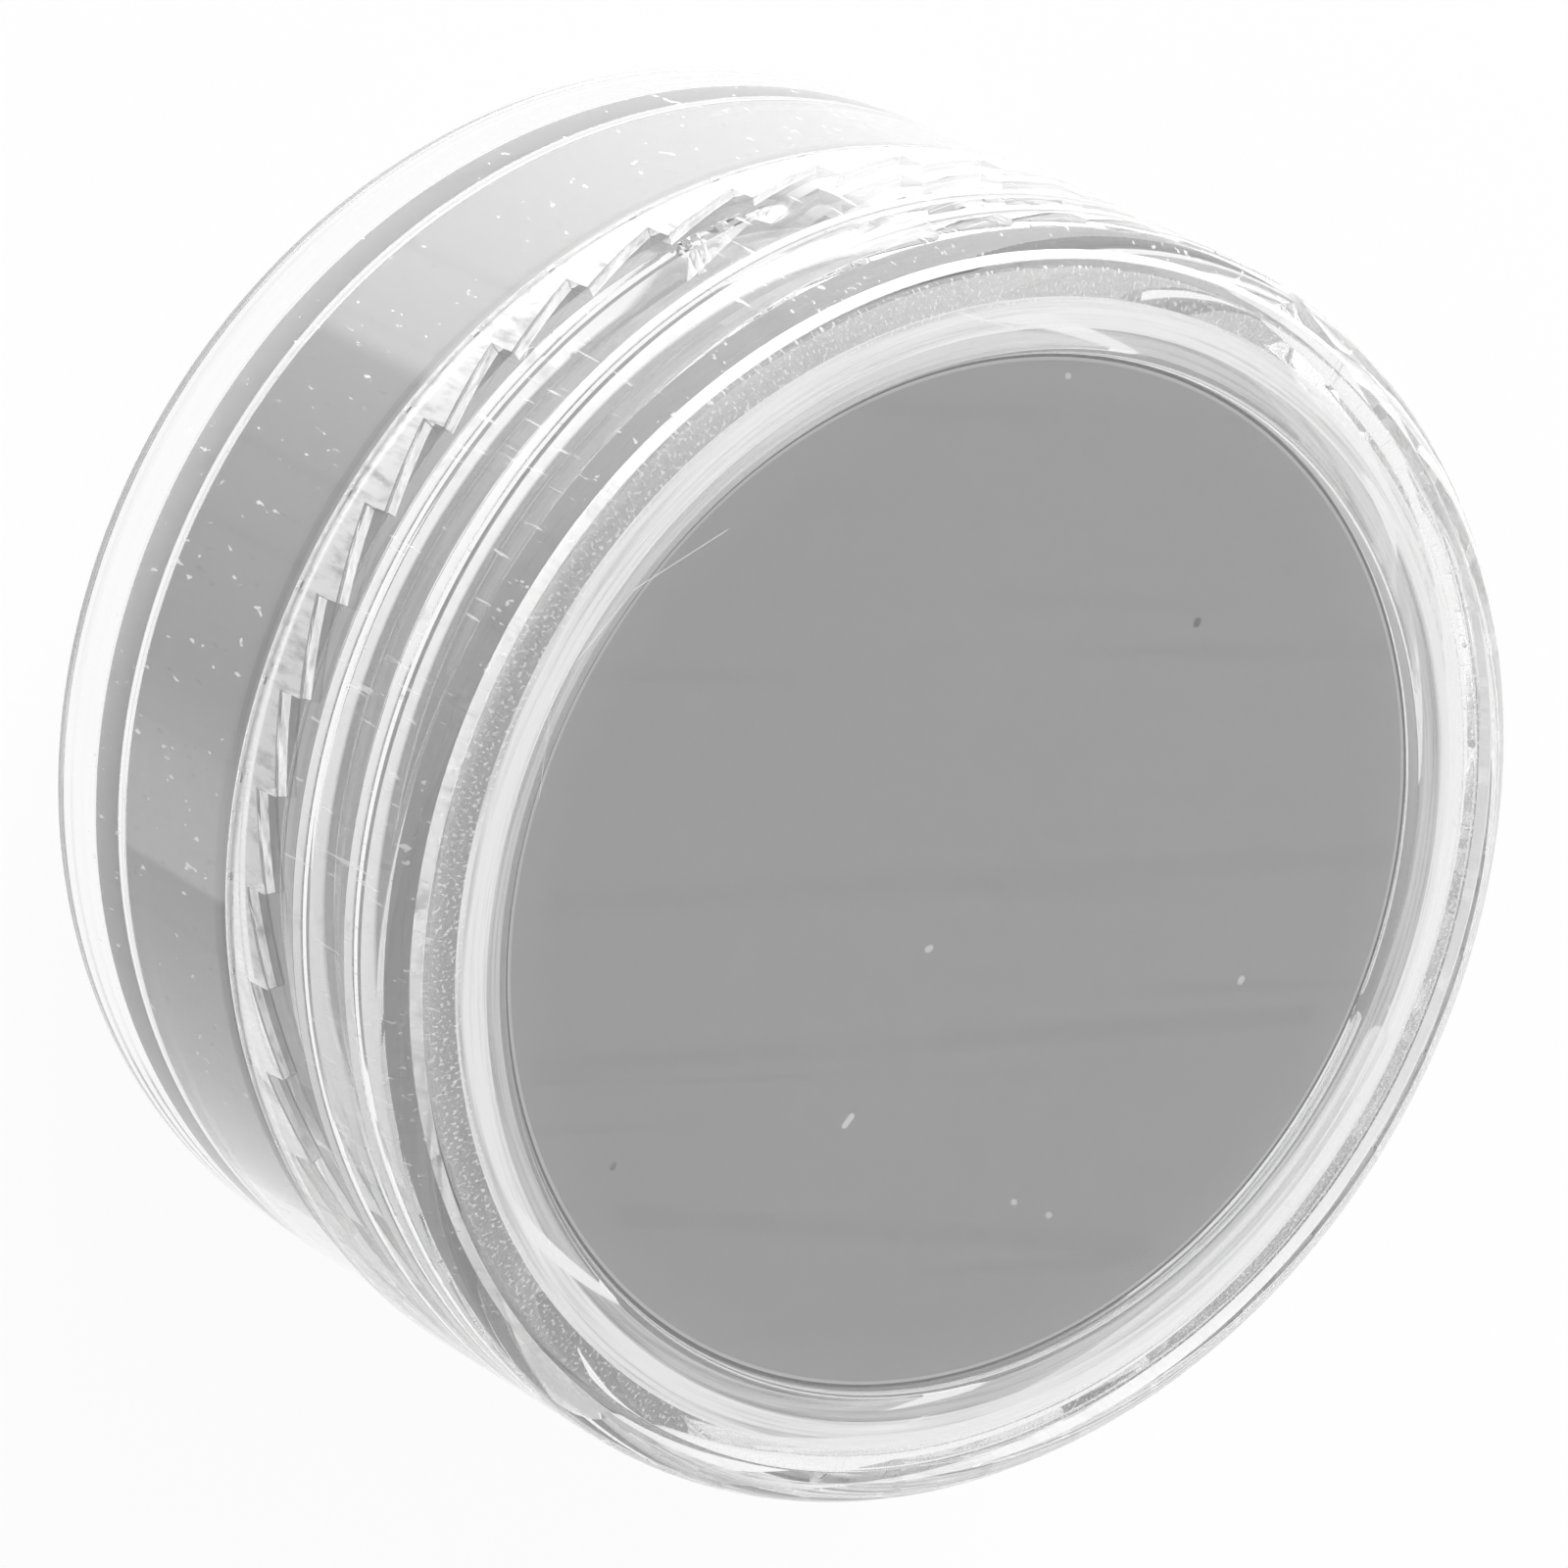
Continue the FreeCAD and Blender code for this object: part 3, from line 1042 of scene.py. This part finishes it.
@dataclass
class ScrewLid:
    """Clear cap with an internal thread and a ratchet ring inside its rim."""

    rim_height: float = 16.9 * MM
    rim_radius: float = 31.5 * MM
    top_height: float = 33.0 * MM
    top_radius: float = 30.95 * MM
    corner_rounding: float = 2.9 * MM
    top_wall: float = 1.8 * MM
    bore_radius: float = 29.3 * MM
    rim_rounding: float = 0.3 * MM
    bead_radius: float = 28.4 * MM
    bead_top: float = 30.5 * MM
    bead_height: float = 1.2 * MM
    bead_rounding: float = 0.2 * MM
    ratchet_radius: float = 30.6 * MM
    tooth_tip: float = 18.3 * MM
    tooth_root_wall: float = 0.2 * MM
    tooth_columns: int = 19
    ratchet: Ratchet = Ratchet()
    thread: Thread = Thread(
        depth=-1.3 * MM, level=14.68 * MM, low_end=20.2 * MM, high_end=28.2 * MM, run_out=0.35 * MM,
        crest_half=0.32 * MM, upper_flank=0.49 * MM, lower_flank=0.38 * MM)
    flank_band: tuple[float, float] = (-0.7 * MM, -0.46 * MM)

    def corners(self) -> list[Corner]:
        """Section from the underside of the top round the rim to the middle of the top."""
        underside = self.top_height - self.top_wall
        above_teeth = self.tooth_tip + self.ratchet.height + self.tooth_root_wall
        return [
            Corner(0, underside),
            Corner(self.bore_radius, underside),
            Corner(self.bore_radius, self.bead_top),
            Corner(self.bead_radius, self.bead_top - self.bead_height / 2, self.bead_rounding),
            Corner(self.bore_radius, self.bead_top - self.bead_height, 0.0, Relief.THREAD),
            Corner(self.bore_radius, above_teeth),
            Corner(self.bore_radius, self.tooth_tip, 0.0, Relief.RATCHET),
            Corner(self.ratchet_radius, self.tooth_tip),
            Corner(self.ratchet_radius, self.rim_height, self.rim_rounding),
            Corner(self.rim_radius, self.rim_height, self.rim_rounding),
            Corner(self.top_radius, self.top_height, self.corner_rounding),
            Corner(0, self.top_height),
        ]

    def frosted(self) -> tuple[Mark, ...]:
        """Worn rim, teeth, thread, corner and side, and the scratches on the top."""
        flat = self.top_height - HAIR
        crest = self.bore_radius + self.thread.depth
        under_teeth = FrostZone(
            low=0.0, high=self.tooth_tip - 2 * HAIR,
            inner=self.ratchet_radius - HAIR, outer=self.ratchet_radius + HAIR,
            amount=0.6, grain=(1800.0, 0.0, 500.0), cover=0.35, teeth=self.ratchet, step_line=0.0)
        ramps = FrostZone(
            low=self.tooth_tip - HAIR, high=self.tooth_tip + HAIR,
            inner=self.bore_radius - HAIR, outer=self.ratchet_radius - 6 * HAIR,
            amount=0.6, grain=(900.0, 0.0, 500.0), cover=0.35, teeth=self.ratchet)
        flank = RubbedBand(self.thread, *self.flank_band, crest + 8 * HAIR, self.bore_radius - HAIR,
                           amount=0.95, cover=0.2)
        corner = FrostZone(
            low=self.bead_top - 2 * HAIR, high=self.top_height - self.top_wall + HAIR,
            inner=self.bore_radius - HAIR, outer=self.bore_radius + HAIR,
            amount=0.55, grain=(900.0, 0.0, 0.0), cover=0.3)
        rim = FrostZone(
            low=0.0, high=self.rim_height + HAIR,
            inner=self.ratchet_radius + HAIR, outer=self.rim_radius - 2 * HAIR,
            amount=0.4, grain=(900.0, 0.0, 0.0), cover=0.35, teeth=self.ratchet, step_line=0.04)
        side = FrostZone(
            low=self.tooth_tip + 2 * self.ratchet.height, high=flat,
            inner=self.ratchet_radius - 10 * HAIR, outer=self.rim_radius + HAIR,
            amount=0.4, grain=(3600.0, 0.0, 300.0), cover=0.67, fade=0.04)
        scratches = (
            Scratch((-0.1, -27.2), (-4.1, -26.3), flat),
            Scratch((-4.1, -26.3), (-8.4, -23.4), flat),
            Scratch((-21.9, -17.9), (-22.6, -14.8), flat),
            Scratch((1.5, -27.6), (6.0, -25.4), flat, 0.04 * MM, 0.35),
        )
        return under_teeth, ramps, flank, corner, rim, side, *scratches

    def build(self, relief: ReliefTree, finish: bpy.types.Material) -> bpy.types.Object:
        """Make the lid's mesh and dress the lid node with it."""
        columns = tooth_turns(self.ratchet, self.tooth_columns)
        shell = TurnedShell(self.corners(), self.thread).mesh("clear_lid", columns)
        pressed = relief.press(shell, finish, self.thread, self.ratchet)
        return dress(pressed, "lid", "screw_lid")


@dataclass
class Studio:
    """Pale floor, soft light and a camera at the photograph's angle."""

    axis_tilt: float = math.radians(38.02)
    axis_turn: float = math.radians(28.74)
    aim_height: float = 31.13 * MM
    aim_offset: tuple[float, float, float] = (8.674 * MM, 4.415 * MM, 346.33 * MM)
    lens: float = 171.97
    sensor: float = 36.0
    nearest: float = 0.01
    floor_half: float = 3.0
    floor_gap: float = 0.02 * MM
    camera_way: tuple[float, float, float] = (0.0, -0.616, 0.788)
    dark_cone: tuple[float, float] = (0.82, 0.94)
    room_light: float = 0.7
    room_white: float = 1.0
    room_dark: float = 0.1
    lamp_place: tuple[float, float, float] = (-0.7, -0.2, 0.18)
    lamp_aim: tuple[float, float, float] = (0.0, 0.0, 15.0 * MM)
    lamp_size: float = 0.5
    lamp_power: float = 9.0
    bounces: int = 32
    clear_bounces: int = 24

    def camera(self) -> None:
        """Set the camera so that the jar's axis lies across the picture as photographed."""
        axis = Vector((math.sin(self.axis_tilt) * math.cos(self.axis_turn),
                       math.sin(self.axis_tilt) * math.sin(self.axis_turn), -math.cos(self.axis_tilt)))
        aim = Vector(self.aim_offset)
        level = (-aim - axis * axis.dot(-aim)).normalized()
        turned = Matrix((level.cross(axis) * -1, level * -1, axis))
        place = turned @ -aim + Vector((0, 0, self.aim_height))
        facing = turned @ Matrix(((1, 0, 0), (0, -1, 0), (0, 0, -1)))
        data = bpy.data.cameras.new("photo_camera")
        data.lens = self.lens
        data.sensor_width = self.sensor
        data.clip_start = self.nearest
        camera = bpy.data.objects.new("photo_camera", data)
        camera.matrix_world = Matrix.Translation(place) @ facing.to_4x4()
        bpy.context.scene.collection.objects.link(camera)
        bpy.context.scene.camera = camera

    def floor(self, finish: bpy.types.Material) -> None:
        """Lay the floor just under the foot."""
        half = self.floor_half
        corners = [(-half, -half, 0), (half, -half, 0), (half, half, 0), (-half, half, 0)]
        mesh = bpy.data.meshes.new("floor")
        mesh.from_pydata(corners, [], [(0, 1, 2, 3)])
        mesh.transform(Matrix.Translation((0, 0, -self.floor_gap)))
        mesh.materials.append(finish)
        sheet = bpy.data.objects.new("floor", mesh)
        bpy.context.scene.collection.objects.link(sheet)

    def world(self) -> None:
        """Even pale surroundings: white where they are seen, but dark behind the camera."""
        world = bpy.data.worlds.new("soft_room")
        world.use_nodes = True
        world.node_tree.nodes.clear()
        tree = NodeTree(world.node_tree)
        light, white, dark = (
            tree.node("ShaderNodeBackground", None, {"Color": grey(1.0), "Strength": strength}).outputs[0]
            for strength in (self.room_light, self.room_white, self.room_dark))
        way = tree.value("ShaderNodeTexCoord", output="Generated")
        behind = tree.vector("DOT_PRODUCT", way, self.camera_way, "Value").smooth(*self.dark_cone)
        room = tree.node("ShaderNodeMixShader", None, {0: behind, 1: white, 2: dark})
        mixed = tree.node("ShaderNodeMixShader", None, {0: tree.seen(), 1: light, 2: room.outputs[0]})
        tree.node("ShaderNodeOutputWorld", None, {"Surface": mixed.outputs[0]})
        bpy.context.scene.world = world

    def lamp(self) -> None:
        """Add a soft square lamp that faces the jar."""
        data = bpy.data.lights.new("window_lamp", "AREA")
        data.size = self.lamp_size
        data.energy = self.lamp_power
        lamp = bpy.data.objects.new("window_lamp", data)
        lamp.visible_glossy = False
        lamp.visible_transmission = False
        lamp.location = self.lamp_place
        facing = Vector(self.lamp_aim) - Vector(self.lamp_place)
        lamp.rotation_euler = facing.to_track_quat("-Z", "Y").to_euler()
        bpy.context.scene.collection.objects.link(lamp)

    def build(self) -> None:
        """Set up everything round the jar."""
        self.floor(PaleFloor().make())
        self.world()
        self.lamp()
        self.camera()
        light = bpy.context.scene.cycles
        light.max_bounces = self.bounces
        light.glossy_bounces = self.clear_bounces
        light.transmission_bounces = self.clear_bounces
        light.transparent_max_bounces = self.clear_bounces
        bpy.context.scene.view_settings.view_transform = "Standard"


def main() -> None:
    """Build the jar piece by piece, then the studio round it."""
    logging.basicConfig(level=logging.INFO, format="%(name)s: %(message)s")
    relief = ReliefTree()
    jar = Jar()
    jar.build(relief, ClearPlastic("jar_plastic", jar.frosted()).make())
    Cake(jar).build(relief, GreyColour().make())
    disc = SealingDisc()
    disc.build(relief, ClearPlastic("seal_plastic", disc.frosted()).make())
    lid = ScrewLid()
    lid.build(relief, ClearPlastic("lid_plastic", lid.frosted()).make())
    Studio().build()


if __name__ == "__main__":
    main()
